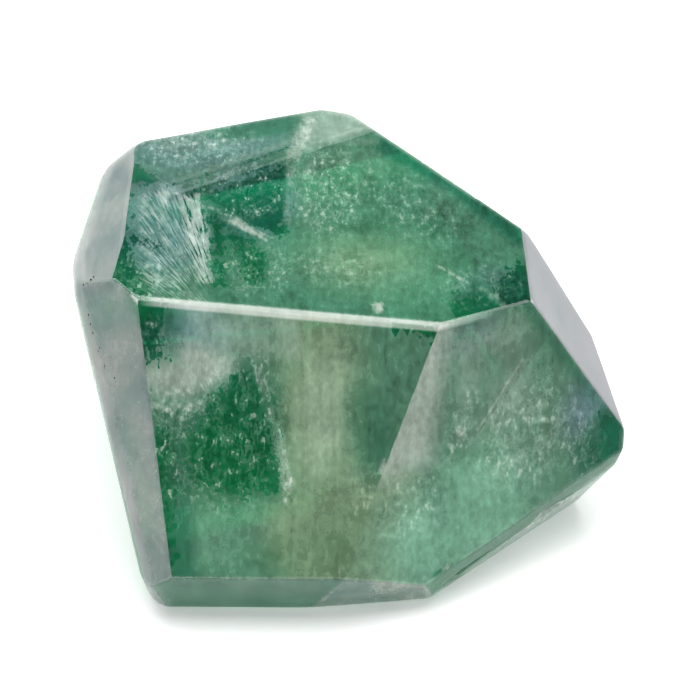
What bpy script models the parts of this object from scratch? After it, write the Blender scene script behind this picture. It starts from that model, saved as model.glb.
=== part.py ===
"""Polished free-form of green fluorite, about 46 x 45 x 25 mm.

One natural block of fluorite, ground to twenty flat facets and five small corner flats, and
polished. The block is a cuboid that each facet's plane trims in turn, as a lapidary trims the
rough on a flat wheel. Then the arrises are eased: narrow between the facets that show, and wide
where they turn into the walls and the base that the stone is held and stood by.

The stone is ground in millimetres and then scaled to metres. +Z is up, and the origin is the
middle of the finished stone's box at its underside, so the stone stands on z = 0. The front of
the stone faces -Y.
"""

import math

import bmesh
import bpy
from mathutils import Matrix, Vector

METRES_PER_MM = 0.001

# The rough block that the facets are ground from, in millimetres.
ROUGH_SIZE = Vector((60, 60, 40))

# The heart is the point that every facet's reach is measured from.
HEART = Vector((0, 0, 12))

# Each facet is (turn, lean, reach, ease). Turn is the compass direction it faces in degrees, from
# +X towards +Y. Lean is its tilt in degrees: 0 faces straight up, 90 is an upright wall and 180
# faces straight down. Reach is its distance from the heart in millimetres. Ease is how far its
# arrises are ground back from the sharp edge, in millimetres; an arris takes the larger of its
# two facets' values.

# The top of the stone: a wide level facet, a low one behind it and a small one at its left corner.
TABLE = (316.5, 5.0, 11.9, 0.4)
REAR_TABLE = (89.0, 3.5, 13.25, 0.4)
CORNER_TABLE = (155.0, 2.5, 13.7, 0.4)

# The two big sloping facets at the front, which meet the table in a three-sided point.
FRONT_SLOPE = (269.5, 53.5, 14.75, 0.3)
FRONT_RIGHT_SLOPE = (293.5, 64.0, 16.0, 0.3)

# The shoulders that turn the top and the front into the sides.
RIGHT_SHOULDER = (1.5, 56.5, 18.3, 0.3)
LEFT_SHOULDER = (175.5, 29.5, 20.35, 0.3)
LEFT_FRONT_SHOULDER = (228.0, 65.5, 21.7, 0.3)

# Narrow facets under the front, leaning back towards the base.
FRONT_FOOT = (269.5, 106.5, 23.7, 0.3)
FRONT_RIGHT_FOOT = (276.0, 109.5, 23.5, 0.3)
RIGHT_FOOT = (304.5, 99.5, 22.35, 0.3)

# The walls round the sides and the back, and the flat that the stone stands on.
BACK_WALL = (106.0, 76.0, 17.55, 0.8)
BACK_RIGHT_WALL = (45.5, 57.0, 15.25, 0.5)
RIGHT_WALL_TOP = (33.0, 72.5, 15.9, 0.5)
RIGHT_WALL = (25.5, 105.0, 16.65, 0.6)
RIGHT_UNDERCUT = (311.0, 117.0, 22.8, 0.6)
LEFT_WALL = (188.5, 100.0, 21.25, 1.6)
BACK_LEFT_WALL = (169.0, 80.5, 23.6, 1.6)
BACK_UNDERCUT = (100.0, 128.0, 20.9, 1.0)
BASE = (0.0, 180.0, 12.0, 1.0)

# Small flats that take off the stone's outer corners.
REAR_CORNER = (75.0, 50.0, 18.4, 0.8)
REAR_LEFT_CORNER = (138.0, 58.0, 23.7, 1.0)
LEFT_CORNER = (182.0, 62.0, 25.0, 1.0)
FRONT_LEFT_CORNER = (232.0, 112.0, 28.5, 1.0)
TIP = (350.0, 88.0, 24.6, 0.6)

FACETS = (
    TABLE,
    REAR_TABLE,
    CORNER_TABLE,
    FRONT_SLOPE,
    FRONT_RIGHT_SLOPE,
    RIGHT_SHOULDER,
    LEFT_SHOULDER,
    LEFT_FRONT_SHOULDER,
    FRONT_FOOT,
    FRONT_RIGHT_FOOT,
    RIGHT_FOOT,
    BACK_WALL,
    BACK_RIGHT_WALL,
    RIGHT_WALL_TOP,
    RIGHT_WALL,
    RIGHT_UNDERCUT,
    LEFT_WALL,
    BACK_LEFT_WALL,
    BACK_UNDERCUT,
    BASE,
    REAR_CORNER,
    REAR_LEFT_CORNER,
    LEFT_CORNER,
    FRONT_LEFT_CORNER,
    TIP,
)

# An arris is rounded by narrow flats, each tangent to the same round: three of them, or one on a
# shallow arris, whose facets turn by less than this many degrees.
FLATS_ROUND_AN_ARRIS = 3
SHALLOW = 15.0

# Points closer than this are one point.
MERGE = 0.0005


def facing(turn, lean):
    """The unit direction that a facet with this turn and lean faces."""
    turn = math.radians(turn)
    lean = math.radians(lean)
    return Vector((
        math.sin(lean) * math.cos(turn),
        math.sin(lean) * math.sin(turn),
        math.cos(lean),
    ))


def rough_block():
    """A closed cuboid of rough fluorite around the heart."""
    block = bmesh.new()
    bmesh.ops.create_cube(
        block,
        size=1,
        matrix=Matrix.Translation(HEART) @ Matrix.Diagonal(ROUGH_SIZE).to_4x4(),
    )
    return block


def grind(block, point, outwards):
    """Trims the block back to the plane through a point and closes the cut with a flat face."""
    cut = bmesh.ops.bisect_plane(
        block,
        geom=block.verts[:] + block.edges[:] + block.faces[:],
        dist=MERGE,
        plane_co=point,
        plane_no=outwards,
        clear_outer=True,
    )
    rim = [item for item in cut["geom_cut"] if isinstance(item, bmesh.types.BMEdge)]
    return bmesh.ops.contextual_create(block, geom=rim)["faces"]


def arris_flats(edge, ease_mark):
    """The narrow flats round one arris: planes tangent to the cylinder that touches both facets."""
    first, second = edge.link_faces
    turned = first.normal.angle(second.normal)
    ease = max(first[ease_mark], second[ease_mark])
    radius = ease / math.tan(turned / 2)
    inwards = (first.normal + second.normal) / (1 + first.normal.dot(second.normal))
    axis = (edge.verts[0].co + edge.verts[1].co) / 2 - inwards * radius
    flats = 1 if turned < math.radians(SHALLOW) else FLATS_ROUND_AN_ARRIS
    for step in range(1, flats + 1):
        outwards = first.normal.slerp(second.normal, step / (flats + 1))
        yield axis + outwards * radius, outwards


def corner_flat(corner, ease_mark):
    """The small flat on a three-sided corner: tangent to the ball that touches its three facets."""
    facets = list(corner.link_faces)
    ease = max(facet[ease_mark] for facet in facets)
    touching = Matrix([facet.normal for facet in facets])
    outwards = sum((facet.normal for facet in facets), Vector()).normalized()
    spread = max(outwards.angle(facet.normal) for facet in facets)
    radius = ease / math.tan(spread)
    centre = corner.co - touching.inverted() @ Vector((radius, radius, radius))
    return centre + outwards * radius, outwards


def ground_stone():
    """The faceted stone: the rough block, its facets, then its eased arrises and corners."""
    block = rough_block()
    ease_mark = block.faces.layers.float.new("ease")
    for turn, lean, reach, ease in FACETS:
        outwards = facing(turn, lean)
        for flat in grind(block, HEART + outwards * reach, outwards):
            flat[ease_mark] = ease
    block.normal_update()
    eased = []
    for edge in block.edges:
        eased.extend(arris_flats(edge, ease_mark))
    for corner in block.verts:
        eased.append(corner_flat(corner, ease_mark))
    for point, outwards in eased:
        grind(block, point, outwards)
    bmesh.ops.remove_doubles(block, verts=block.verts, dist=MERGE)
    bmesh.ops.recalc_face_normals(block, faces=block.faces)
    return block


def place_on_origin(block):
    """Moves the stone so that its box stands centred on the origin, and turns it to metres."""
    lows = Vector([min(corner.co[axis] for corner in block.verts) for axis in range(3)])
    highs = Vector([max(corner.co[axis] for corner in block.verts) for axis in range(3)])
    middle_below = Vector(((lows.x + highs.x) / 2, (lows.y + highs.y) / 2, lows.z))
    bmesh.ops.translate(block, vec=-middle_below, verts=block.verts)
    bmesh.ops.scale(block, vec=Vector((1, 1, 1)) * METRES_PER_MM, verts=block.verts)


def polished_fluorite():
    """Green fluorite: clear, soft green, with a glassy polish."""
    material = bpy.data.materials.new("polished_green_fluorite")
    material.use_nodes = True
    shader = material.node_tree.nodes["Principled BSDF"]
    shader.inputs["Base Color"].default_value = (0.13, 0.35, 0.20, 1.0)
    shader.inputs["Metallic"].default_value = 0.0
    shader.inputs["Roughness"].default_value = 0.06
    shader.inputs["IOR"].default_value = 1.434
    shader.inputs["Transmission Weight"].default_value = 0.9
    return material


def build_stone(collection):
    """The stone as one object in its collection."""
    block = ground_stone()
    place_on_origin(block)
    mesh = bpy.data.meshes.new("fluorite_stone")
    block.to_mesh(mesh)
    block.free()
    mesh.materials.append(polished_fluorite())
    collection.objects.link(bpy.data.objects.new("fluorite_stone", mesh))


def clear_scene():
    """Removes whatever the scene holds."""
    for thing in list(bpy.data.objects):
        bpy.data.objects.remove(thing, do_unlink=True)


clear_scene()
free_form = bpy.data.collections.new("fluorite_free_form")
bpy.context.scene.collection.children.link(free_form)
build_stone(free_form)
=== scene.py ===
import itertools
import math

import bmesh
import bpy
import numpy as np
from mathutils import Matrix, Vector


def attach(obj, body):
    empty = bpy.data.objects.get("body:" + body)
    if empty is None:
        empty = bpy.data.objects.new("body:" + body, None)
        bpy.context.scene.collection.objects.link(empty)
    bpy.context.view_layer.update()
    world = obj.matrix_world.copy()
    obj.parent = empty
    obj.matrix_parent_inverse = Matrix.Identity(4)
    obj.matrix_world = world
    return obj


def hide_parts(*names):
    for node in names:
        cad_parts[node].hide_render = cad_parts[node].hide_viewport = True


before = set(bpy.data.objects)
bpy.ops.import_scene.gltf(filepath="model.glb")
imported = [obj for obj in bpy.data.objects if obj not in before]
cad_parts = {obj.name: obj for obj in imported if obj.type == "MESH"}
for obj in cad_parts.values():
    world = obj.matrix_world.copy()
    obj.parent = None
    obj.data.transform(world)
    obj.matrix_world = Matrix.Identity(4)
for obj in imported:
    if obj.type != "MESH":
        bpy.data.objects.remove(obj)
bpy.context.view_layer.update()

# ---------------------------------------------------------------------------
# The stone: one block of clear green fluorite, ground freely into facets on a
# wheel and polished. The arrises were eased by hand, so they are round and a
# little frosted, and their whitish frost is also a painted highlight where an
# arris would catch the light. The shoulders and the foot kept a satin under the
# polish, and their pale grey is partly a painted reflection of the bright room.
# ---------------------------------------------------------------------------

MM = 0.001
HEART = np.array([-0.1139, 0.3152, 12.0])
# Each facet: turn from +X and lean from +Z in degrees, reach from the heart and
# easing of its arrises in mm, and how matt its finish is, from 0 to 1. The matt share also lays a
# pale lilac grey over the facet: partly a real matt finish and partly a painted reflection of the
# bright room on the steep shoulders.
FACETS = {
    "table": (316.5, 5.0, 11.9, 0.4, 0.0),
    "rear_table": (89.0, 3.5, 13.25, 0.4, 0.05),
    "corner_table": (155.0, 2.5, 13.7, 0.4, 0.2),
    "front_slope": (269.5, 53.5, 14.75, 0.3, 0.0),
    "front_right_slope": (293.5, 64.0, 16.0, 0.3, 0.04),
    "right_shoulder": (1.5, 56.5, 18.3, 0.3, 0.85),
    "left_shoulder": (175.5, 29.5, 20.35, 0.3, 0.6),
    "left_front_shoulder": (228.0, 65.5, 21.7, 0.3, 0.5),
    "front_foot": (269.5, 106.5, 23.7, 0.3, 0.1),
    "front_right_foot": (276.0, 109.5, 23.5, 0.3, 0.1),
    "right_foot": (304.5, 99.5, 22.35, 0.3, 0.05),
    "back_wall": (106.0, 76.0, 17.55, 0.8, 0.1),
    "back_right_wall": (45.5, 57.0, 15.25, 0.5, 0.1),
    "right_wall_top": (33.0, 72.5, 15.9, 0.5, 0.15),
    "right_wall": (25.5, 105.0, 16.65, 0.6, 0.15),
    "right_undercut": (311.0, 117.0, 22.8, 0.6, 0.4),
    "left_wall": (188.5, 100.0, 21.25, 1.6, 0.3),
    "back_left_wall": (169.0, 80.5, 23.6, 1.6, 0.2),
    "back_undercut": (100.0, 128.0, 20.9, 1.0, 0.1),
    "base": (0.0, 180.0, 12.0, 1.0, 0.1),
    "rear_corner": (75.0, 50.0, 18.4, 0.8, 0.4),
    "rear_left_corner": (138.0, 58.0, 23.7, 1.0, 0.4),
    "left_corner": (182.0, 62.0, 25.0, 1.0, 0.5),
    "front_left_corner": (232.0, 112.0, 28.5, 1.0, 0.5),
    "tip": (350.0, 88.0, 24.6, 0.6, 0.3),
}
NUMBER = {name: number for number, name in enumerate(FACETS)}
TURN, LEAN, REACH, EASE, MATT_AND_REFLECTION = np.array(list(FACETS.values())).T
FACING = np.stack([
    np.sin(np.radians(LEAN)) * np.cos(np.radians(TURN)),
    np.sin(np.radians(LEAN)) * np.sin(np.radians(TURN)),
    np.cos(np.radians(LEAN)),
], axis=1)
TOP = (NUMBER["table"], NUMBER["rear_table"], NUMBER["corner_table"])
FRONT = (NUMBER["front_slope"],)
RIGHT = (NUMBER["front_right_slope"],)
LEFT = (NUMBER["left_front_shoulder"],)
BACK = tuple(NUMBER[name] for name in (
    "back_wall", "back_right_wall", "right_wall_top", "right_wall", "right_undercut", "left_wall",
    "back_left_wall", "back_undercut", "base", "rear_corner", "rear_left_corner"))
# How frosted an arris is where two facets meet, from 0 to 1, and in mm how much wider two of them
# were eased. The frost is partly real wear and partly a painted highlight, whitish where the arris
# would catch the light, as on the front ridge and the outer edges of the right shoulder.
FROST_AND_HIGHLIGHT = {
    ("table", "front_slope"): 0.42, ("table", "rear_table"): 0.14, ("front_slope", "front_right_slope"): 0.0,
    ("table", "right_shoulder"): 0.0, ("front_right_slope", "right_shoulder"): 0.0,
    ("table", "front_right_slope"): 0.3, ("table", "left_shoulder"): 0.0,
    ("table", "left_front_shoulder"): 0.0, ("front_slope", "left_front_shoulder"): 0.0,
    ("left_shoulder", "back_left_wall"): 0.14, ("left_shoulder", "rear_left_corner"): 0.14,
    ("left_shoulder", "left_corner"): 0.12,
    ("right_shoulder", "right_wall_top"): 0.3, ("right_shoulder", "right_wall"): 0.3,
}
FAINT_FROST_AND_HIGHLIGHT = 0.08
FROST_AND_HIGHLIGHT_REACH = 0.3
WIDER = {("table", "front_slope"): 0.55, ("table", "rear_table"): 0.6}
# Three small chips on the lower right arris, with their size and depth in mm.
CHIPS = np.array([[17.4, -13.8, 5.2], [16.4, -14.4, 4.8], [8.6, -19.1, 1.8]])
CHIP_SIZE, CHIP_DEPTH = 0.5, 0.5
# The slow unevenness that a hand-held grind leaves: its height and size in mm. It fades out over the
# lowest few mm, so that the base stays level.
UNEVEN, UNEVEN_SIZE, UNEVEN_SEED, LEVEL_FOOT = 0.035, 9.0, 5, 3.0
# The mesh, in mm: the step along a facet's rim and the fewest steps on a side, the rings that crowd at
# the rim, and the steps further in, which are finest on the facets whose zones are drawn in detail.
RIM_STEP = 0.4
FEWEST_STEPS = 6
NEAR_RIM = np.array([0, 0.05, 0.11, 0.2, 0.32, 0.5, 0.75, 1.1, 1.6])
RING_STEP = [0.3 if number in TOP + FRONT + RIGHT else 1.0 if number in BACK else 2.0
             for number in NUMBER.values()]
# How near a plane a corner lies on it, in mm, and the search for the surface: its rounds and its
# trial step in mm.
ON_PLANE = 1e-5
ROUNDS, TRIAL = 20, 0.01
# The depth in mm of a place that is in no drawn shape.
OUTSIDE = -9.0


def sharp_corners(facing, reach):
    """The points where three facet planes meet without lying outside any other plane."""
    trios = np.array(list(itertools.combinations(range(len(reach)), 3)))
    trios = trios[np.abs(np.linalg.det(facing[trios])) > 1e-6]
    meets = np.linalg.solve(facing[trios], reach[trios][..., None])[..., 0]
    kept = (meets @ facing.T - reach <= 1e-7).all(axis=1)
    return np.unique(meets[kept].round(7), axis=0)


def outline_of(facet, corners, facing, reach):
    """A facet's corners in order round it, anticlockwise as seen from outside."""
    own = corners[np.abs(corners @ facing[facet] - reach[facet]) < ON_PLANE]
    across = np.cross(facing[facet], own[0] - own.mean(axis=0))
    along = np.cross(across, facing[facet])
    spokes = own - own.mean(axis=0)
    return own[np.argsort(np.arctan2(spokes @ across, spokes @ along))]


def rim_points(outline, step):
    """Points along an outline, closer together towards each corner: the share of each side goes
    as half of 1 less the cosine of an angle that grows evenly."""
    ends = np.roll(outline, -1, axis=0)
    counts = np.maximum(FEWEST_STEPS, np.ceil(np.linalg.norm(ends - outline, axis=1) / step).astype(int))
    shares = [(0.5 - 0.5 * np.cos(np.pi * np.arange(n) / n))[:, None] for n in counts]
    return np.concatenate([a + s * (b - a) for a, b, s in zip(outline, ends, shares)])


def polar_sheet(rim, near_rim, step):
    """A grid over an outline: each ring is the rim drawn towards its middle, first by the distances
    near_rim and then in even steps, until the last ring is the middle itself."""
    middle = rim.mean(axis=0)
    radius = np.linalg.norm(rim - middle, axis=1).mean()
    near = near_rim[near_rim < 0.6 * radius]
    further = np.linspace(near[-1], radius, max(3, int((radius - near[-1]) / step) + 1))[1:]
    inward = np.concatenate([near, further]) / radius
    points = middle + (1 - inward)[:, None, None] * (rim - middle)
    rings, around = points.shape[:2]
    j, i = np.meshgrid(np.arange(rings - 1), np.arange(around), indexing="ij")
    here, beside = j * around + i, j * around + (i + 1) % around
    faces = np.stack([here, beside, beside + around, here + around], axis=-1).reshape(-1, 4)
    return points.reshape(-1, 3), faces


def eased(points, facing, reach, widths, pairs):
    """How far points are outside the stone, and how near an arris they are. It is the furthest
    facet distance, and near an arris of two facets a quarter of the easing width times the square
    of the share that is left of that width is added, which rounds the arris off. Where several
    arrises meet, what they add is joined as the fourth root of the sum of the fourth powers."""
    out = points @ facing.T - reach
    far = out.max(axis=1)
    width = widths[:, None]
    gap = 2 * far - out[:, pairs[:, 0]].T - out[:, pairs[:, 1]].T
    left = np.maximum(0, 1 - gap / width)
    return far + ((left ** 2 * width / 4) ** 4).sum(axis=0) ** 0.25, left


def wavy(points, seed, size, height):
    """Slow waves: a sum of six sines of the place, each in its own direction, about one size long."""
    rng = np.random.default_rng(seed)
    ways = rng.normal(size=(6, 3))
    ways *= (2 * np.pi / size / np.linalg.norm(ways, axis=1) * rng.uniform(0.7, 1.4, 6))[:, None]
    return height * np.sin(points @ ways.T + rng.uniform(0, 2 * np.pi, 6)).mean(axis=1)


def arris_pairs(corners, facing, reach):
    """The pairs of facets that share an arris, so two corners lie on both."""
    on = np.abs(corners @ facing.T - reach) < ON_PLANE
    shared = on.T.astype(int) @ on.astype(int)
    return np.argwhere(np.triu(shared >= 2, 1))


def ground_stone():
    """Every facet as a polar sheet, each point moved along its line from the heart until the
    eased distance is zero. Points on an arris come out alike from both sides and are merged."""
    corners = sharp_corners(FACING, REACH)
    pairs = arris_pairs(corners, FACING, REACH)
    a, b = pairs.T
    names = list(FACETS)
    named = [(names[i], names[j]) for i, j in pairs]
    frost_and_highlight = np.array([FROST_AND_HIGHLIGHT.get(pair, FAINT_FROST_AND_HIGHLIGHT) for pair in named])
    easing = np.maximum(np.maximum(EASE[a], EASE[b]), [WIDER.get(pair, 0.0) for pair in named])
    widths = easing * np.linalg.norm(np.cross(FACING[a], FACING[b]), axis=1)
    sheets = [polar_sheet(rim_points(outline_of(i, corners, FACING, REACH), RIM_STEP), NEAR_RIM, step)
              for i, step in enumerate(RING_STEP)]
    starts = np.cumsum([0] + [len(p) for p, _ in sheets[:-1]])
    points = np.concatenate([p for p, _ in sheets])
    faces = np.concatenate([f + s for (_, f), s in zip(sheets, starts)])
    facet = np.repeat(np.arange(len(sheets)), [len(p) for p, _ in sheets])
    facet_of_face = np.repeat(np.arange(len(sheets)), [len(f) for _, f in sheets])
    line = points / np.linalg.norm(points, axis=1, keepdims=True)
    length = np.linalg.norm(points, axis=1)
    flat_share = np.clip((points[:, 2] + HEART[2]) / LEVEL_FOOT, 0, 1)
    sunk = UNEVEN * flat_share + wavy(points, UNEVEN_SEED, UNEVEN_SIZE, UNEVEN) * flat_share
    away = np.linalg.norm(points[:, None] + HEART - CHIPS, axis=2)
    sunk = sunk + (CHIP_DEPTH * np.exp(-(away / CHIP_SIZE) ** 2)).sum(axis=1)
    for _ in range(ROUNDS):
        off, worn_and_highlight = eased(line * length[:, None], FACING, REACH, widths, pairs)
        further, _ = eased(line * (length[:, None] + TRIAL), FACING, REACH, widths, pairs)
        length = length - (off + sunk) * TRIAL / np.maximum(further - off, 1e-3 * TRIAL)
    # How frosted each point is: partly wear and partly a painted highlight along the arrises.
    frosted_and_highlit = (np.clip(worn_and_highlight / FROST_AND_HIGHLIGHT_REACH, 0, 1) ** 2 * frost_and_highlight[:, None]).max(axis=0)
    return line * length[:, None] + HEART, faces, facet, facet_of_face, frosted_and_highlit


def mesh_piece(name, points, faces):
    """A mesh object from points in mm and faces as rows of point numbers."""
    mesh = bpy.data.meshes.new(name)
    mesh.from_pydata(points * MM, [], faces.tolist() if isinstance(faces, np.ndarray) else faces)
    mesh.shade_smooth()
    piece = bpy.data.objects.new(name, mesh)
    bpy.context.scene.collection.objects.link(piece)
    return piece


def merged(piece, attributes):
    """Closes the seams: points at one place become one, which keeps the attributes."""
    for name, domain, values in attributes:
        piece.data.attributes.new(name, "FLOAT", domain).data.foreach_set(
            "value", np.asarray(values, np.float32))
    bm = bmesh.new()
    bm.from_mesh(piece.data)
    bmesh.ops.remove_doubles(bm, verts=bm.verts, dist=1e-6)
    bmesh.ops.dissolve_degenerate(bm, edges=bm.edges, dist=1e-7)
    bm.to_mesh(piece.data)
    bm.free()
    piece.data.shade_smooth()


def oval_depth(flat, middle, radii, turn=0.0):
    """Distance in from the edge of an oval, in mm and less than 0 outside: 1 less the length of the
    place turned and divided by the radii, times the smaller radius."""
    c, s = math.cos(math.radians(turn)), math.sin(math.radians(turn))
    x, y = (flat - np.array(middle)).T
    across = np.hypot((c * x + s * y) / radii[0], (c * y - s * x) / radii[1])
    return (1 - across) * min(radii)


def sided_depth(flat, *corners):
    """Distance in from the nearest side of a many-sided outline whose corners go anticlockwise."""
    corners = np.array(corners, float)
    sides = np.roll(corners, -1, axis=0) - corners
    inward = np.stack([-sides[:, 1], sides[:, 0]], axis=1) / np.linalg.norm(sides, axis=1)[:, None]
    return (flat @ inward.T - (corners * inward).sum(axis=1)).min(axis=1)


def stroke_depth(flat, width, *places):
    """Distance in from the edge of a stroke drawn through places: its half width less the distance
    to the nearest of its straight parts."""
    nearest = np.full(len(flat), np.inf)
    for start, end in zip(np.array(places[:-1]), np.array(places[1:])):
        along = np.clip((flat - start) @ (end - start) / ((end - start) @ (end - start)), 0, 1)
        nearest = np.minimum(nearest, np.linalg.norm(flat - start - along[:, None] * (end - start), axis=1))
    return width - nearest


def flat_places(place):
    """Which points lie on these facets, and where: x and y on the top facets, x and z on the others."""
    own = np.isin(facet, place)
    return own, points[own][:, [0, 1] if place == TOP else [0, 2]]


def deepest(shapes):
    """The greatest depth in mm in any of the shapes. Where there is none, it is well outside."""
    depth = np.full(len(points), OUTSIDE)
    for place, drawn in shapes.items():
        own, flat = flat_places(place)
        for shape, *sizes in drawn:
            depth[own] = np.maximum(depth[own], shape(flat, *sizes))
    return depth


def strength(shapes):
    """The greatest soft share from 0 to 1 in any of the shapes. A shape starts with its most and the
    mm of depth in which it rises to that, as three times the square less twice the cube."""
    share = np.zeros(len(points))
    for place, drawn in shapes.items():
        own, flat = flat_places(place)
        for most, soft, shape, *sizes in drawn:
            t = np.clip(shape(flat, *sizes) / soft, 0, 1)
            share[own] = np.maximum(share[own], most * t * t * (3 - 2 * t))
    return share


points, faces, facet, facet_of_face, worn_and_highlight = ground_stone()
# The frost on the front arris, partly wear and partly a painted highlight, fades out over 2.5 mm
# before its right end and 1.6 mm after its left.
ends = np.clip((12.2 - points[:, 0]) / 2.5, 0.04, 1) * np.clip((points[:, 0] + 17.4) / 1.6, 0.1, 1)
worn_and_highlight = worn_and_highlight * np.where(np.isin(facet, TOP + FRONT + RIGHT), ends, 1)
# Clear windows in the haze, through which the deep green shows.
windows = deepest({TOP: [
    (sided_depth, (-13.3, 3.2), (-6.0, -0.8), (-5.4, -0.2), (-4.8, 8.0)),
    (sided_depth, (-11.8, 2.0), (-11.2, -6.8), (-9.8, -6.5), (-10.4, 1.2)),
    (sided_depth, (-10.2, -0.6), (-8.6, -6.0), (-6.6, -6.4), (-6.6, -3.0), (-8.6, -1.4)),
    (sided_depth, (-19.6, 8.2), (-19.4, 4.4), (-15.2, 4.8)),
    (stroke_depth, 0.6, (-19.0, 5.4), (-18.7, -1.0), (-18.9, -6.8)),
    (stroke_depth, 0.3, (-18.2, -1.6), (-15.8, -2.6)),
    (sided_depth, (-20.2, -4.0), (-18.4, -8.8), (-15.6, -8.4), (-17.4, -4.4)),
    (stroke_depth, 0.36, (-13.2, 3.6), (-4.6, 9.2)),
    (stroke_depth, 0.26, (-13.6, 4.3), (-7.0, 8.3)),
    (sided_depth, (8.2, -6.6), (9.0, -9.8), (16.8, -9.4), (13.4, -5.4)),
    (sided_depth, (12.2, -4.0), (13.2, -9.0), (17.0, -8.8), (16.2, -1.0)),
], FRONT: [
    (sided_depth, (-13.0, 12.6), (-9.6, 11.2), (-5.6, 11.8), (-6.0, 18.2), (-8.5, 20.0), (-11.0, 18.2),
     (-13.4, 15.2)),
    (sided_depth, (-18.6, 25.2), (-17.2, 20.0), (-15.2, 20.8), (-14.8, 25.2)),
    (sided_depth, (-17.0, 15.6), (-15.2, 4.8), (-13.7, 5.0), (-14.3, 11.5), (-14.0, 16.4)),
    (stroke_depth, 0.45, (4.2, 22.9), (8.2, 22.2)),
], RIGHT: [
    (sided_depth, (19.8, 9.4), (21.2, 7.6), (24.6, 7.0), (24.0, 11.6), (21.4, 12.2)),
]})
# The same deep green under a thinner haze, with soft edges.
green = strength({TOP: [
    (1.0, 2.0, stroke_depth, 2.6, (3.6, 10.2), (9.4, 6.0), (14.4, 0.6)),
    (0.8, 2.6, sided_depth, (9.4, -3.6), (5.0, -7.4), (11.6, -9.4), (16.4, -8.4), (15.6, -2.0)),
    (0.9, 1.4, oval_depth, (-8.4, 12.4), (6.6, 2.6), 8),
    (0.7, 3.0, sided_depth, (-14.5, 3.4), (-11.5, -8.4), (-5.4, -8.0), (-4.4, 9.0)),
    (0.48, 1.0, oval_depth, (-2.0, 2.0), (24.0, 16.0)),
    (0.5, 1.0, stroke_depth, 1.4, (-19.4, 6.0), (-18.6, -8.0)),
    (0.95, 0.15, stroke_depth, 0.35, (-19.3, 6.4), (-19.5, -1.0), (-20.0, -5.6)),
    (0.9, 0.1, stroke_depth, 0.16, (-13.4, 3.5), (-4.6, 9.1)),
    (0.8, 0.1, stroke_depth, 0.12, (-14.4, 4.1), (-6.0, 9.0), (2.0, 10.0)),
    (0.9, 0.12, stroke_depth, 0.2, (-18.6, 7.0), (-15.8, 5.0)),
    (0.8, 0.15, stroke_depth, 0.22, (-11.2, -6.6), (-12.2, -1.0), (-13.0, 2.6)),
], FRONT: [
    (0.55, 1.8, oval_depth, (1.4, 16.0), (2.6, 5.0), 12),
    (0.7, 2.0, sided_depth, (-15.0, 10.9), (-4.6, 10.2), (-4.8, 19.2), (-8.5, 21.4), (-15.4, 17.0)),
    (0.8, 1.6, sided_depth, (-17.8, 16.4), (-15.4, 4.6), (-11.6, 4.4), (-12.6, 16.4)),
    (0.6, 1.4, sided_depth, (-18.4, 25.4), (-17.4, 19.2), (-13.0, 19.8), (-13.4, 25.4)),
], RIGHT: [
    (0.4, 2.2, sided_depth, (8.6, 11.0), (15.4, 18.6), (12.0, 21.4), (9.4, 20.6)),
    (0.9, 1.6, sided_depth, (17.6, 10.4), (19.0, 5.4), (25.0, 5.0), (24.6, 13.0), (20.6, 13.8)),
    (0.6, 1.6, stroke_depth, 1.5, (12.4, 4.4), (18.4, 6.4)),
    (0.6, 0.9, stroke_depth, 0.9, (14.6, 22.4), (20.4, 13.6)),
    (0.9, 0.3, stroke_depth, 0.45, (22.6, 8.0), (19.0, 6.0), (15.0, 4.8), (7.2, 3.9)),
], LEFT: [
    (0.5, 1.6, oval_depth, (-17.2, 24.3), (1.7, 2.6)),
    (0.2, 3.0, oval_depth, (-14.6, 4.0), (3.5, 9.0)),
]})
# The two feet face down and are set darker, with more of the deep green: partly the stone's green and partly
# painted shade. The left shoulder is set nearly clear of it.
for name, share in (("front_foot", 0.75), ("left_shoulder", 0.1), ("right_foot", 0.55)):
    green[facet == NUMBER[name]] = share
# Soft whitish streaks, where a healed crack comes up to the face.
streaks = strength({TOP: [
    (0.5, 0.6, stroke_depth, 0.75, (-4.9, 9.0), (-5.0, 5.5)),
    (0.3, 0.6, stroke_depth, 0.7, (-4.9, 9.0), (-5.3, 0.8)),
    (0.45, 0.7, stroke_depth, 1.0, (-4.6, 8.6), (-3.4, 13.4)),
    (1.0, 0.5, sided_depth, (-10.6, 0.5), (-6.6, -1.9), (-6.6, -1.2), (-9.4, 1.6)),
    (1.0, 0.3, oval_depth, (2.4, -8.3), (0.6, 0.85)),
    (0.4, 0.25, stroke_depth, 0.3, (7.4, -3.4), (9.6, -5.0)),
    (0.5, 0.16, stroke_depth, 0.2, (-14.6, 3.6), (-9.6, 1.0), (-6.2, -1.2)),
    (0.5, 0.4, stroke_depth, 0.5, (11.0, -5.8), (12.8, -7.4)),
], FRONT: [
    (0.5, 0.5, stroke_depth, 0.7, (-7.4, 19.8), (-6.0, 15.6), (-5.0, 12.0)),
    (0.6, 0.2, stroke_depth, 0.24, (-16.9, 18.4), (-12.4, 18.3), (-10.8, 19.6)),
    (0.8, 0.3, oval_depth, (2.9, 13.4), (0.7, 0.6)),
    (0.6, 0.12, stroke_depth, 0.16, (-18.0, 5.9), (6.0, 5.7)),
    (0.7, 0.3, stroke_depth, 0.4, (-18.6, 18.6), (-15.4, 17.2), (-12.0, 17.4)),
], RIGHT: [
    (0.4, 0.16, stroke_depth, 0.2, (14.3, 18.4), (9.4, 12.6)),
    (0.6, 0.5, oval_depth, (9.2, 14.2), (0.8, 1.0)),
    (0.8, 0.2, oval_depth, (8.1, 4.2), (0.5, 0.3)),
]})
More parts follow.
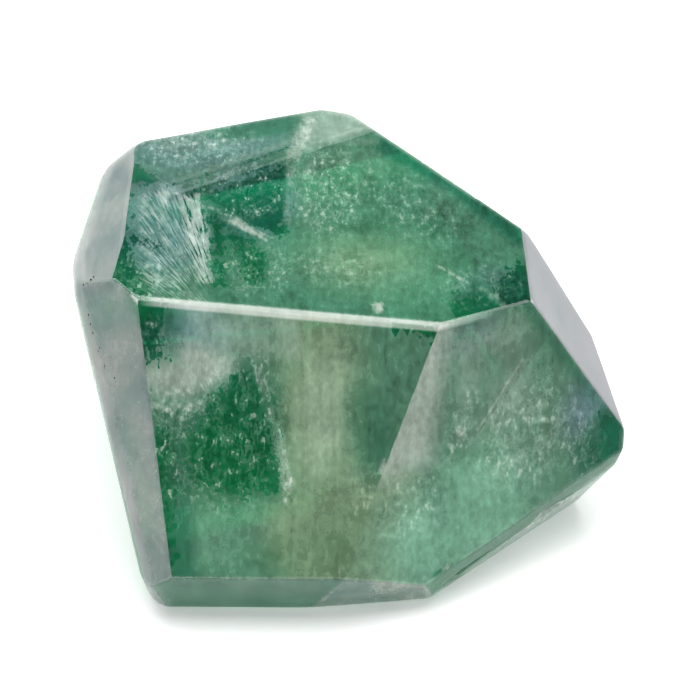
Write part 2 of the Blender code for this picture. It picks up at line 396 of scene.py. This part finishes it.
# The growth zones: yellow-green in the middle, mint low at the right and teal towards the corners.
yellow = strength({TOP: [
    (1.0, 5.0, oval_depth, (1.5, -3.4), (8.5, 5.4)),
    (0.2, 3.0, oval_depth, (0.4, 8.0), (4.5, 5.0)),
], FRONT: [
    (0.9, 4.0, oval_depth, (-2.2, 16.5), (5.5, 14.0)),
    (0.8, 3.0, oval_depth, (-1.0, 9.0), (8.0, 6.0)),
], RIGHT: [
    (0.7, 3.0, oval_depth, (2.0, 9.0), (6.0, 7.5)),
]})
mint = strength({TOP: [
    (0.35, 4.0, oval_depth, (5.5, -6.0), (6.0, 4.0)),
], FRONT: [
    (0.35, 4.0, oval_depth, (-11.0, 8.0), (5.5, 5.0)),
    (0.6, 3.0, oval_depth, (5.0, 8.0), (4.0, 4.0)),
], RIGHT: [
    (1.0, 4.5, oval_depth, (9.2, 7.2), (9.6, 7.0)),
    (1.0, 0.8, oval_depth, (23.0, 9.6), (2.6, 2.6)),
]})
teal = strength({TOP: [
    (0.8, 2.0, oval_depth, (-8.4, 3.4), (5.0, 6.0)),
    (0.45, 2.0, oval_depth, (13.0, -6.4), (5.5, 4.0)),
    (1.0, 5.0, oval_depth, (-13.5, 11.0), (12.0, 7.0)),
    (1.0, 4.0, oval_depth, (-15.5, 0.0), (6.0, 9.0)),
], FRONT: [
    (0.7, 3.0, oval_depth, (-14.0, 22.5), (7.0, 3.6)),
], RIGHT: [
    (0.3, 2.0, oval_depth, (9.5, 21.5), (4.0, 2.6)),
    (0.9, 3.0, oval_depth, (20.0, 13.0), (3.5, 4.5)),
    (0.5, 2.0, oval_depth, (22.4, 9.6), (4.5, 5.0)),
]})
# Milky veils, and crumbly places where fine cracks lie close together.
milky = strength({TOP: [
    (0.35, 2.0, oval_depth, (-12.5, 11.0), (7.0, 3.4), 8),
    (0.95, 1.2, sided_depth, (-5.2, 8.8), (3.0, 12.0), (2.0, 15.2), (-4.6, 15.4)),
    (0.2, 2.0, oval_depth, (-3.2, 4.0), (2.6, 7.0)),
    (0.35, 0.5, stroke_depth, 0.6, (-15.6, 4.4), (-4.6, 10.6), (2.4, 10.6)),
], FRONT: [
    (0.85, 2.2, sided_depth, (-19.0, 22.2), (-18.4, 17.4), (-13.0, 16.8), (-8.6, 18.4), (-8.0, 21.2),
     (-12.0, 23.0)),
    (0.35, 4.0, oval_depth, (-2.0, 17.0), (4.5, 8.0)),
    (0.4, 1.6, sided_depth, (-12.0, 19.8), (-3.0, 19.8), (-3.0, 25.0), (-15.0, 25.0)),
], RIGHT: [
    (0.9, 3.0, sided_depth, (-4.0, 10.4), (8.0, 11.4), (10.8, 27.0), (2.0, 27.0)),
    (0.12, 3.0, oval_depth, (14.8, 13.6), (5.4, 4.8)),
    (0.4, 3.0, sided_depth, (6.5, 23.0), (8.5, 12.0), (18.0, 12.0), (15.0, 23.0)),
    (1.0, 0.8, oval_depth, (23.0, 9.6), (2.6, 2.6)),
]})
crumbly = strength({TOP: [
    (0.8, 1.0, oval_depth, (-9.0, 3.6), (4.5, 3.4), 30),
    (0.75, 2.5, oval_depth, (-13.0, 9.6), (7.0, 4.0), 8),
    (0.65, 2.0, oval_depth, (-1.8, 4.6), (4.0, 7.0)),
    (0.45, 2.5, oval_depth, (4.6, 3.8), (8.0, 4.0), -38),
    (0.8, 2.0, oval_depth, (-8.0, -4.6), (4.0, 3.8)),
    (0.8, 2.0, oval_depth, (-17.0, -6.6), (3.5, 3.6)),
    (0.5, 1.5, oval_depth, (11.0, -5.6), (4.6, 3.0), 20),
    (0.4, 2.0, oval_depth, (-1.0, -4.0), (6.0, 3.0)),
], FRONT: [
    (0.85, 2.0, oval_depth, (-10.0, 15.6), (5.8, 6.0)),
    (1.0, 1.5, oval_depth, (-15.2, 14.4), (2.4, 6.0), 6),
    (0.9, 1.0, oval_depth, (-16.0, 21.8), (1.8, 2.2)),
    (1.0, 0.6, stroke_depth, 0.9, (-7.4, 20.2), (-6.0, 15.6), (-4.9, 11.4)),
    (0.6, 2.0, oval_depth, (3.0, 11.4), (4.0, 3.0)),
], RIGHT: [
    (0.7, 2.5, oval_depth, (14.6, 12.4), (5.5, 5.0)),
    (0.7, 1.0, oval_depth, (19.6, 10.4), (2.0, 3.4), 15),
    (0.9, 1.0, oval_depth, (9.2, 14.8), (1.4, 4.0), -20),
    (0.6, 2.0, oval_depth, (5.0, 10.0), (3.5, 3.5)),
]})
in_front = np.isin(facet, FRONT)
crumbly[in_front] *= (1 - 0.8 * milky)[in_front]
# The back, the sides and the underside hold the same zones, in slow waves through the stone.
back = np.isin(facet, BACK)
WAVE_SIZES, WAVE_SEED = (14.0, 15.0, 20.0, 18.0, 16.0, 5.0), 60
waves = [wavy(points[back], seed, size, 1.0) for seed, size in enumerate(WAVE_SIZES, WAVE_SEED)]
windows[back] = 6.0 * waves[0] + 2.5 * waves[5] - 1.6
green[back] = np.clip(0.4 + 1.6 * waves[0], 0, 0.9)
yellow[back] = np.clip(2.4 * waves[1], 0, 1)
mint[back] = np.clip(2.4 * waves[2], 0, 1)
milky[back] = np.clip(2.0 * waves[3] - 0.2, 0, 0.6)
crumbly[back] = np.clip(2.4 * waves[4] + 0.3, 0, 1)
windows[np.isin(facet, (NUMBER["base"], NUMBER["back_undercut"]))] = OUTSIDE
crumbly[facet == NUMBER["base"]] = 0.0
# The feather's fan: each place's turn about the fan's root and its distance from it, and the torn
# right border of it, which stands out in teeth.
ROOT = (-9.5, -12.0)
fan_turn = np.degrees(np.arctan2(points[:, 1] - ROOT[1], points[:, 0] - ROOT[0]))
fan_far = np.hypot(points[:, 0] - ROOT[0], points[:, 1] - ROOT[1])
fan = strength({TOP: [(1.0, 1.2, sided_depth, (-11.2, -9.5), (-11.0, -0.6), (-12.6, 3.4), (-16.4, 5.2),
                       (-18.4, 3.0), (-17.6, -7.5), (-16.0, -9.5))]})
teeth = strength({TOP: [(1.0, 0.5, sided_depth, (-14.6, 3.4), (-12.4, -6.8), (-10.6, -6.6), (-11.4, -1.0),
                         (-12.0, 4.2))]})
# The satin facets: the shoulders, the feet, the corners and the tip. Their greyish colour is partly a real
# satin finish and partly a painted reflection of the bright room.
satin_and_reflection = np.isin(facet_of_face, TOP + FRONT + RIGHT + BACK + (NUMBER["right_foot"],), invert=True)
stone = mesh_piece("fluorite_block", points, faces)
merged(stone, [("matt_and_reflection", "FACE", MATT_AND_REFLECTION[facet_of_face]), ("satin_and_reflection", "FACE", satin_and_reflection)] + [
    (name, "POINT", values) for name, values in {
        "worn_and_highlight": worn_and_highlight, "window": windows, "green": green, "streak": streaks, "yellow": yellow, "mint": mint,
        "teal": teal, "milky": milky, "crumbly": crumbly, "fan": fan, "teeth": teeth, "fan_turn": fan_turn,
        "fan_far": fan_far}.items()])


def linear(code):
    """An sRGB hex colour as linear red, green, blue and alpha."""
    s = np.array([int(code[i:i + 2], 16) for i in (1, 3, 5)]) / 255
    flat = np.where(s <= 0.04045, s / 12.92, ((s + 0.055) / 1.055) ** 2.4)
    return (*flat.tolist(), 1.0)


def add(tree, kind, *inputs, out=0, **settings):
    """One shader node with its settings. Its inputs come in order or as a dict by name, each a value or
    another node's output to link, and it gives back the output that is asked for."""
    node = tree.nodes.new("ShaderNode" + kind)
    for key, value in settings.items():
        setattr(node, key, value)
    named = inputs[0] if inputs and isinstance(inputs[0], dict) else dict(enumerate(inputs))
    for key, value in named.items():
        if isinstance(value, bpy.types.NodeSocket):
            tree.links.new(value, node.inputs[key])
        else:
            node.inputs[key].default_value = value
    return node.outputs[out] if node.outputs else None


# Settings of nodes that work on shares, so each result is held to between 0 and 1, and of one that lays
# a colour over another: its inputs are 0 for the share, 6 for the colour under and 7 for the one over.
TIMES = {"operation": "MULTIPLY", "use_clamp": True}
TIMES_PLUS = {"operation": "MULTIPLY_ADD", "use_clamp": True}
MINUS = {"operation": "SUBTRACT", "use_clamp": True}
LARGER = {"operation": "MAXIMUM", "use_clamp": True}
LAID_OVER = {"data_type": "RGBA", "out": 2}
# Cloudy noises in the stone: the size of their lumps in mm, their detail and roughness, how much they
# are stretched each way and how far they are turned, in degrees.
CLOUDINESS = {
    "rags": (1.5, 4.0, 0.7, (1, 1, 1), 0),
    "fine": (0.45, 2.0, 0.6, (1, 0.6, 0.6), 0),
    "curls": (0.6, 3.0, 0.65, (1, 0.55, 0.55), 35),
    "clouds": (4.0, 2.0, 0.55, (1, 1, 1), 0),
    "banded": (0.7, 3.0, 0.6, (1, 0.1, 0.1), 0),
}
# How far in mm the coarse and the fine noise move a window's edge about, and where in mm that soft edge
# starts and ends.
RAGGED, CRUMBLED = 3.4, 3.6
EDGE = (-0.1, 0.22)


def polished_fluorite():
    """Fluorite ground and polished: a low index, so its gloss is faint. Green deepens with the
    depth of stone looked through. The arrises are frosted, partly as wear and partly as a painted
    highlight, and shoulders and foot carry a satin, whose pale grey is partly a painted reflection."""
    material = bpy.data.materials.new("polished_fluorite")
    material.use_nodes = True
    tree = material.node_tree
    tree.nodes.clear()
    held = {name: add(tree, "Attribute", attribute_name=name, out="Fac") for name in (
        "matt_and_reflection", "satin_and_reflection", "worn_and_highlight", "window", "green", "streak", "yellow", "mint", "teal", "milky", "crumbly",
        "fan", "teeth", "fan_turn", "fan_far")}
    place = add(tree, "TexCoord", out="Object")
    place = add(tree, "VectorMath", {0: place, "Scale": 1 / MM}, operation="SCALE")
    noise = {}
    for name, (size, detail, rough, stretch, turn) in CLOUDINESS.items():
        laid = add(tree, "Mapping", {"Vector": place, "Scale": tuple(way / size for way in stretch),
                                     "Rotation": (0, 0, math.radians(turn))})
        noise[name] = add(tree, "TexNoise", {"Vector": laid, "Scale": 1.0, "Detail": detail,
                                             "Roughness": rough}, out="Fac")

    # The windows: coarse noise makes their edges ragged, and fine noise crumbles them.
    depth = add(tree, "Math", noise["rags"], RAGGED, held["window"], operation="MULTIPLY_ADD")
    depth = add(tree, "Math", noise["fine"], CRUMBLED, depth, operation="MULTIPLY_ADD")
    middle = (RAGGED + CRUMBLED) / 2
    windows = add(tree, "MapRange", {"Value": depth, "From Min": middle + EDGE[0],
                                     "From Max": middle + EDGE[1]})
    # The feather: barbs drawn out along the fan, patchy, with dark slits between the teeth.
    spread = add(tree, "CombineXYZ", add(tree, "Math", held["fan_turn"], 0.9, operation="MULTIPLY"),
                 add(tree, "Math", held["fan_far"], 0.4, operation="MULTIPLY"))
    hair = add(tree, "TexNoise", {"Vector": spread, "Scale": 1.0, "Detail": 3.0, "Roughness": 0.65},
               out="Fac")
    barbs = add(tree, "MapRange", {"Value": hair, "From Min": 0.42, "From Max": 0.62})
    barbs = add(tree, "Math", barbs, add(tree, "Math", held["fan"], held["teeth"], **LARGER), **TIMES)
    patchy = add(tree, "MapRange", {"Value": noise["rags"], "From Min": 0.35, "From Max": 0.6,
                                    "To Min": 0.35})
    barbs = add(tree, "Math", barbs, patchy, **TIMES)
    slits = add(tree, "MapRange", {"Value": hair, "From Min": 0.45, "From Max": 0.4})
    torn = add(tree, "Math", held["fan"], 0.25, held["teeth"], **TIMES_PLUS)
    slits = add(tree, "Math", slits, torn, **TIMES)
    windows = add(tree, "Math", windows, slits, **LARGER)
    # The streaks, flecked by the fine noise.
    streaks = add(tree, "Math", noise["fine"], 2.0, held["streak"], operation="MULTIPLY_ADD")
    streaks = add(tree, "MapRange", {"Value": streaks, "From Min": 1.0, "From Max": 2.0})
    streaks = add(tree, "Math", streaks, add(tree, "Math", held["streak"], 3.0, **TIMES), **TIMES)
    # The crumbs: worms are thin lines where the curls cross their middle, specks the brightest points
    # of the fine noise, and grains a wider share of it.
    worms = add(tree, "Math", noise["curls"], 0.5, operation="SUBTRACT")
    worms = add(tree, "Math", worms, operation="ABSOLUTE", use_clamp=True)
    worms = add(tree, "MapRange", {"Value": worms, "From Max": 0.08, "To Min": 1.0, "To Max": 0.0})
    gaps = add(tree, "MapRange", {"Value": noise["rags"], "From Min": 0.45, "From Max": 0.55})
    worms = add(tree, "Math", add(tree, "Math", worms, gaps, **TIMES), held["crumbly"], **TIMES)
    specks = add(tree, "MapRange", {"Value": noise["fine"], "From Min": 0.6, "From Max": 0.68})
    specks = add(tree, "Math", specks, add(tree, "Math", held["crumbly"], 0.95, 0.04, **TIMES_PLUS), **TIMES)
    grains = add(tree, "MapRange", {"Value": noise["fine"], "From Min": 0.47, "From Max": 0.6})
    grains = add(tree, "Math", grains, held["crumbly"], **TIMES)

    # The haze is the share of light that the stone scatters instead of letting it through.
    haze = add(tree, "Math", noise["clouds"], 0.3, **TIMES)
    for name, share in (("rags", 0.2), ("fine", 0.3), ("banded", 0.2)):
        haze = add(tree, "Math", noise[name], share, haze, **TIMES_PLUS)
    haze = add(tree, "MapRange", {"Value": haze, "From Min": 0.35, "From Max": 0.65, "To Min": 0.1,
                                  "To Max": 0.48})
    for name, share in (("milky", 0.18), ("mint", 0.14), ("yellow", 0.1)):
        haze = add(tree, "Math", held[name], share, haze, **TIMES_PLUS)
    for mask, less in ((windows, -0.65), (held["matt_and_reflection"], -0.7)):
        haze = add(tree, "Math", haze, add(tree, "Math", mask, less, 1.0, **TIMES_PLUS), **TIMES)
    between = add(tree, "Math", held["teeth"], slits, **MINUS)
    # The frosted arrises and the matt facets scatter more light: this paints the highlight on the arrises and
    # the pale reflection on the shoulders, as well as their real finish.
    for mask, share in ((held["matt_and_reflection"], 0.5), (barbs, 0.24), (between, 0.12), (grains, 0.07), (worms, 0.16),
                        (specks, 0.2), (streaks, 0.2), (held["worn_and_highlight"], 1.0)):
        haze = add(tree, "Math", mask, share, haze, **TIMES_PLUS)

    # The colours: the zones over the plain green, then the finishes, which are partly painted reflection
    # and painted highlight, the windows and what is white.
    cloudy = add(tree, "MapRange", {"Value": noise["clouds"], "From Min": 0.38, "From Max": 0.62})
    # The satin's greyish green: partly a real satin and partly a painted reflection.
    satin_colour_and_reflection = add(tree, "Mix", {0: cloudy, 6: linear("#94bcb2"), 7: linear("#c6d2c6")}, **LAID_OVER)
    deep = add(tree, "Mix", {0: held["teal"], 6: linear("#0cbc82"), 7: linear("#0a9080")}, **LAID_OVER)
    white = 0.0
    for mask, share in ((streaks, 0.7), (worms, 0.4), (specks, 0.8), (grains, 0.18), (barbs, 0.65)):
        white = add(tree, "Math", white, add(tree, "Math", mask, share, **TIMES), **LARGER)
    ragged = add(tree, "Math", held["teeth"], 0.6, **TIMES)
    # The whitish colour of the frosted arrises: partly wear and partly a painted highlight.
    frosted_and_highlit = add(tree, "Math", held["worn_and_highlight"], 1.6, **TIMES)
    colour = linear("#86c6a4")
    for over, share in (
            (linear("#b2d2a6"), held["yellow"]), (linear("#9ee0be"), held["mint"]),
            (linear("#9ac6d2"), held["teal"]), (linear("#dceadc"), held["milky"]), (satin_colour_and_reflection, held["satin_and_reflection"]),
            (linear("#b0abb6"), held["matt_and_reflection"]), (linear("#369876"), held["green"]),
            (linear("#c2d2cc"), ragged), (deep, windows), (linear("#dfe4da"), white),
            (linear("#d8d4d0"), frosted_and_highlit)):
        colour = add(tree, "Mix", {0: share, 6: colour, 7: over}, **LAID_OVER)

    rough = 0.04
    for mask, share in ((held["matt_and_reflection"], 0.35), (held["worn_and_highlight"], 0.2), (haze, 0.12)):
        rough = add(tree, "Math", mask, share, rough, **TIMES_PLUS)
    glass = add(tree, "BsdfPrincipled", {"Base Color": colour, "IOR": 1.434, "Roughness": rough,
                                         "Transmission Weight": add(tree, "Math", 1.0, haze, **MINUS)})
    depth = add(tree, "VolumeAbsorption", {"Color": (0.05, 0.68, 0.51, 1), "Density": 120.0})
    add(tree, "OutputMaterial", {"Surface": glass, "Volume": depth})
    return material


stone.data.materials.append(polished_fluorite())
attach(stone, "root")
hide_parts("fluorite_stone")

# ---------------------------------------------------------------------------
# The fractures inside: flat cleavage cracks that healed or let in air while the
# crystal grew. They are whitish, patchy and almost straight, and reach nearly
# to the polished surface, where they show as pale lines.
# ---------------------------------------------------------------------------

# Each fracture: a point on it in mm, the turn and lean of its normal, its margin under the surface in
# mm, and the middle and radius of the part of it that is whitish.
FRACTURES = {
    "upright_fracture": ((-5.0, 1.5, 24.0), 173.7, 96.6, 0.3, (-5.0, -1.0, 21.0), 17.0),
    "front_fracture": ((12.0, -11.8, 15.8), 130.2, 94.9, 0.3, (13.0, -10.5, 14.0), 7.0),
    "rear_fracture": ((4.0, 9.0, 12.0), 60.0, 48.0, 0.6, (5.0, 8.0, 12.0), 12.0),
    "low_fracture": ((-8.0, -4.0, 8.0), 250.0, 22.0, 0.6, (-9.0, -1.0, 8.0), 7.0),
}
# The step of its mesh and the height and size of its waves, in mm.
CRACK_STEP = 0.5
CRACK_WAVE, CRACK_WAVE_SIZE, CRACK_SEED = 0.35, 7.0, 40


def crack(point, turn, lean, margin, seed):
    """The face that a cut through the stone would show, kept a margin inside the surface, as a polar
    sheet that waves across its plane. It also gives how deep each point lies in the stone."""
    turn, lean = math.radians(turn), math.radians(lean)
    way = np.array([math.sin(lean) * math.cos(turn), math.sin(lean) * math.sin(turn), math.cos(lean)])
    facing = np.vstack([FACING, way])
    reach = np.append(REACH - margin, way @ (np.array(point) - HEART))
    outline = outline_of(len(REACH), sharp_corners(facing, reach), facing, reach)
    points, faces = polar_sheet(rim_points(outline, CRACK_STEP), NEAR_RIM[2:] - NEAR_RIM[2], CRACK_STEP)
    deep = (REACH - points @ FACING.T).min(axis=1)
    waves = wavy(points, seed, CRACK_WAVE_SIZE, CRACK_WAVE) * np.clip((deep - margin) / 2, 0, 1)
    return points + waves[:, None] * way + HEART, faces, deep


def healed_fracture():
    """A healed crack: flat pockets of air and fluid that scatter a whitish light, thickest in
    patches and along the rim, and clear in between."""
    material = bpy.data.materials.new("healed_fracture")
    material.use_nodes = True
    tree = material.node_tree
    tree.nodes.clear()
    place = add(tree, "TexCoord", out="Object")
    place = add(tree, "VectorMath", {0: place, "Scale": 1 / MM}, operation="SCALE")
    deep = add(tree, "Attribute", attribute_name="deep", out="Fac")
    share = add(tree, "Attribute", attribute_name="share", out="Fac")
    patches = add(tree, "TexNoise", {"Vector": place, "Scale": 1 / 6.0, "Detail": 3.0, "Roughness": 0.6},
                  out="Fac")
    flecks = add(tree, "TexNoise", {"Vector": place, "Scale": 1 / 0.9, "Detail": 6.0, "Roughness": 0.75},
                 out="Fac")
    rim = add(tree, "MapRange", {"Value": deep, "From Min": 0.3, "From Max": 4.0, "To Min": 0.35,
                                 "To Max": 0.0})
    thick = add(tree, "Math", patches, 0.6, rim, **TIMES_PLUS)
    thick = add(tree, "Math", flecks, 0.9, thick, operation="MULTIPLY_ADD")
    cover = add(tree, "MapRange", {"Value": thick, "From Min": 0.78, "From Max": 1.15, "To Max": 0.7})
    cover = add(tree, "Math", cover, share, **TIMES)
    glass = add(tree, "BsdfPrincipled", {"Base Color": linear("#d8e2da"), "Roughness": 0.5, "Alpha": cover})
    add(tree, "OutputMaterial", {"Surface": glass})
    return material


healed = healed_fracture()
for seed, (name, (point, turn, lean, margin, middle, radius)) in enumerate(FRACTURES.items(), CRACK_SEED):
    points, faces, deep = crack(point, turn, lean, margin, seed)
    away = np.linalg.norm(points - np.array(middle), axis=1) / radius
    sheet = mesh_piece(name, points, faces)
    merged(sheet, [("deep", "POINT", deep), ("share", "POINT", np.clip(2.5 - 2.5 * away, 0, 1))])
    sheet.data.materials.append(healed)
    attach(sheet, "root")

# ---------------------------------------------------------------------------
# The feather: hair-thin splinters of cleavage that spread like a fan under the
# left of the table. Each is a thin lens of air, bright where it is thickest.
# ---------------------------------------------------------------------------

# Places along each lens, and how many splinters and teeth there are before any are left out.
LENS_STEPS = 6
SPLINTERS, TEETH = 200, 90


def splinters(start, way, length, width, up, bend):
    """Thin lenses: each runs from its start along its way, bends aside by a sine of half a turn, and
    is as wide as the sine of half a turn, so it tapers to a point at both ends."""
    share = np.linspace(0, 1, LENS_STEPS)
    across = np.cross(up, way)
    across /= np.linalg.norm(across, axis=1, keepdims=True)
    swell = np.sin(np.pi * share)
    line = (start[:, None] + way[:, None] * (length[:, None] * share)[..., None]
            + across[:, None] * (bend[:, None] * swell)[..., None])
    half = across[:, None] * (width[:, None] * swell / 2)[..., None]
    points = np.stack([line - half, line + half], axis=2).reshape(-1, 3)
    first = (2 * LENS_STEPS * np.arange(len(start))[:, None] + 2 * np.arange(LENS_STEPS - 1)).ravel()
    return points, np.stack([first, first + 2, first + 3, first + 1], axis=1)


def under_table(x, y, depth):
    """Places in mm below the given x and y, at a depth under the table."""
    table = NUMBER["table"]
    flat = np.stack([x, y], axis=1) - HEART[:2]
    up = (REACH[table] - depth - flat @ FACING[table][:2]) / FACING[table][2]
    return np.column_stack([flat, up]) + HEART


def plain(name, settings):
    """A material with nothing but its shader's own settings."""
    material = bpy.data.materials.new(name)
    material.use_nodes = True
    for socket, value in settings.items():
        material.node_tree.nodes["Principled BSDF"].inputs[socket].default_value = value
    return material


rng = np.random.default_rng(11)
angle = np.radians(rng.uniform(97, 150, SPLINTERS))
far = rng.uniform(6.0, 16.5, SPLINTERS)
x, y = ROOT[0] + far * np.cos(angle), ROOT[1] + far * np.sin(angle)
kept = (x > -18.6) & (y > -8.0) & (y < 4.6)
# The right border of the fan, where it tore off in a row of wider teeth.
along = rng.uniform(0, 1, TEETH)
x = np.append(x[kept], -11.6 - 1.6 * along + rng.normal(0, 0.35, TEETH))
y = np.append(y[kept], -5.5 + 8.0 * along)
angle = np.append(angle[kept], np.radians(rng.normal(98, 7, TEETH)))
wide = np.append(np.full(kept.sum(), 1.0), np.full(TEETH, 1.8))
count = len(x)
start = under_table(x, y, rng.uniform(0.35, 1.2, count))
way = np.stack([np.cos(angle), np.sin(angle), rng.normal(0, 0.04, count)], axis=1)
way /= np.linalg.norm(way, axis=1, keepdims=True)
length = rng.uniform(0.3, 1.6, count)
width = wide * rng.uniform(0.03, 0.09, count)
up = rng.normal(0, 0.3, (count, 3)) + (0, 0, 1)
feather = mesh_piece("feather", *splinters(start, way, length, width, up, rng.normal(0, 0.08, count)))
# Air in a thin crack throws white light back and lets a little through.
feather.data.materials.append(plain("cleavage_air", {
    "Base Color": linear("#dfe8e4"), "Roughness": 0.45, "Alpha": 0.22}))
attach(feather, "root")

# ---------------------------------------------------------------------------
# The grit: grinding dirt left in the few small pits along the left arris and on
# the slope. Each grain is a black speck sunk in the polished face.
# ---------------------------------------------------------------------------

# The pits of each facet: x and z in mm, and the radius of the grain in it.
PITS = {
    "left_front_shoulder": (
        (-21.8, 23.0, 0.1), (-21.5, 23.3, 0.06), (-21.2, 23.7, 0.08), (-20.95, 24.05, 0.07),
        (-21.39, 21.05, 0.12), (-21.28, 20.47, 0.08), (-21.07, 19.93, 0.09), (-20.48, 19.18, 0.12),
        (-20.62, 18.89, 0.07), (-20.08, 18.11, 0.08), (-19.23, 17.72, 0.1)),
    "front_slope": ((-11.52, 18.13, 0.1),),
}
# The share of its radius by which a grain's middle is sunk, and the rings and sides of its mesh.
SUNK_SHARE = 0.8
RINGS, AROUND = 5, 9


def grains_of(middles, radii):
    """Small lumps: each a ball in rings and meridians, whose radius swells and shrinks by a third
    with the sine of two and three times its angle round. Both poles are single points."""
    polar = np.linspace(0, np.pi, RINGS + 1)[1:-1]
    turn = 2 * np.pi * np.arange(AROUND) / AROUND
    down, round_ = np.meshgrid(polar, turn, indexing="ij")
    swell = 1 + 0.33 * np.sin(2 * round_ + 1) * np.sin(3 * round_)
    shell = np.stack([np.sin(down) * np.cos(round_), np.sin(down) * np.sin(round_), np.cos(down)], axis=-1)
    shell = np.vstack([(shell * swell[..., None]).reshape(-1, 3), [0, 0, 1], [0, 0, -1]])
    j, i = np.meshgrid(np.arange(RINGS - 2), np.arange(AROUND), indexing="ij")
    here, beside = j * AROUND + i, j * AROUND + (i + 1) % AROUND
    bands = np.stack([here, here + AROUND, beside + AROUND, beside], axis=-1).reshape(-1, 4).tolist()
    top, low = len(shell) - 2, AROUND * (RINGS - 2)
    caps = [[n, (n + 1) % AROUND, top] for n in range(AROUND)]
    caps += [[(n + 1) % AROUND + low, n + low, top + 1] for n in range(AROUND)]
    points = (middles[:, None] + radii[:, None, None] * shell).reshape(-1, 3)
    firsts = range(0, len(points), len(shell))
    return points, [[first + corner for corner in face] for first in firsts for face in bands + caps]


middles, radii = [], []
for name, pits in PITS.items():
    x, z, radius = np.array(pits).T
    i = NUMBER[name]
    flat = np.stack([x, z], axis=1) - HEART[[0, 2]]
    y = (REACH[i] - SUNK_SHARE * radius - flat @ FACING[i][[0, 2]]) / FACING[i][1] + HEART[1]
    middles.append(np.stack([x, y, z], axis=1))
    radii.append(radius)
grit = mesh_piece("grit", *grains_of(np.concatenate(middles), np.concatenate(radii)))
grit.data.materials.append(plain("grinding_dirt", {"Base Color": linear("#15201c"), "Roughness": 0.7}))
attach(grit, "root")

# ---------------------------------------------------------------------------
# The stage: a plain pale floor, soft studio light and the camera.
# ---------------------------------------------------------------------------

# Half the floor's side and how far it lies under the stone, in mm.
SIDE, GAP = 600.0, 0.05
floor = mesh_piece("floor", np.array([[-SIDE, -SIDE, -GAP], [SIDE, -SIDE, -GAP], [SIDE, SIDE, -GAP],
                                      [-SIDE, SIDE, -GAP]]), [[0, 1, 2, 3]])
floor.data.materials.append(plain("white_paper", {
    "Base Color": linear("#fafafa"), "Roughness": 0.9, "Emission Color": (1, 1, 1, 1),
    "Emission Strength": 0.3}))

# The room is bright low down and dimmer above, and dimmer still on the camera's side.
scene = bpy.context.scene
world = bpy.data.worlds.new("studio")
world.use_nodes = True
room = world.node_tree
way = add(room, "TexCoord", out="Generated")
low = add(room, "MapRange", {"Value": add(room, "SeparateXYZ", way, out=2), "From Min": 0.3, "From Max": 0.72,
                             "To Min": 1.31, "To Max": 0.2})
behind = add(room, "MapRange", {"Value": add(room, "SeparateXYZ", way, out=1), "From Min": -0.9,
                                "From Max": -0.1, "To Min": 0.18, "To Max": 1.0})
glow = add(room, "Math", low, behind, operation="MULTIPLY")
room.links.new(glow, room.nodes["Background"].inputs["Strength"])
room.nodes["Background"].inputs["Color"].default_value = (1, 1, 1, 1)
scene.world = world

# A large soft lamp overhead, a little behind the stone.
place, aim = Vector((0, 50, 400)), Vector((0, 0, 10))
lamp = bpy.data.lights.new("overhead", "AREA")
lamp.shape = "RECTANGLE"
lamp.size, lamp.size_y = 420 * MM, 330 * MM
lamp.energy = 2.3
overhead = bpy.data.objects.new("overhead", lamp)
scene.collection.objects.link(overhead)
overhead.location = place * MM
overhead.rotation_euler = (aim - place).to_track_quat("-Z", "Y").to_euler()

lens = bpy.data.cameras.new("camera")
lens.lens = 200
lens.sensor_width = 36
lens.clip_start, lens.clip_end = 0.01, 10
camera = bpy.data.objects.new("camera", lens)
scene.collection.objects.link(camera)
camera.location = (0.0000716, -0.235196, 0.245231)
camera.rotation_euler = (math.radians(45), 0, 0)
scene.camera = camera

scene.view_settings.view_transform = "Standard"
scene.cycles.max_bounces = 14
scene.cycles.transmission_bounces = 14
scene.cycles.transparent_max_bounces = 16
